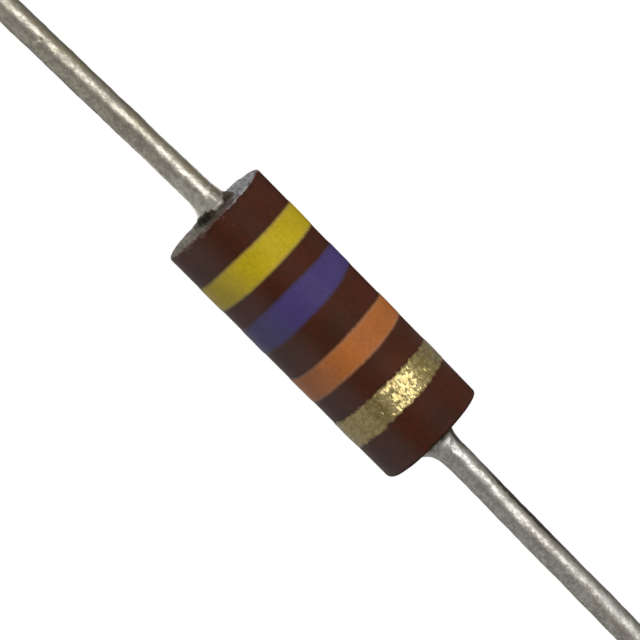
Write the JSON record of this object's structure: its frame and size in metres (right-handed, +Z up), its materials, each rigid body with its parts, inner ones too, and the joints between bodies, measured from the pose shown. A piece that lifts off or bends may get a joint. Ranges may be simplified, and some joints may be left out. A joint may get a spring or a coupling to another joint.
{
  "type": "axial resistor",
  "caption": "Moulded axial resistor: a drafted brown cylinder with painted colour code bands and a solder-coated lead wire leaving each end face.",
  "frame": {"origin": "middle of the body, on the body's axis", "axes": "+X along the body's axis from the first digit band to the tolerance band, +Y the side that both leads leave a little off centre, +Z up"},
  "size_m": [0.0854, 0.0038, 0.0038],
  "materials": {
    "moulded_phenolic": "satin brown moulding with faint flow marks",
    "carbon_slug": "matt black carbon composition",
    "solder_coated_wire": "satin solder coat with mottling and fine streaks",
    "yellow_paint": "satin yellow paint",
    "violet_paint": "satin violet paint",
    "orange_paint": "satin orange paint",
    "gold_paint": "gold paint with coarse metal flake"
  },
  "bodies": {
    "root": {"moulded_jacket": "moulded_phenolic", "resistance_core": "carbon_slug", "left_lead": "solder_coated_wire", "right_lead": "solder_coated_wire", "first_digit_band": "yellow_paint", "second_digit_band": "violet_paint", "multiplier_band": "orange_paint", "tolerance_band": "gold_paint"}
  },
  "joints": []
}
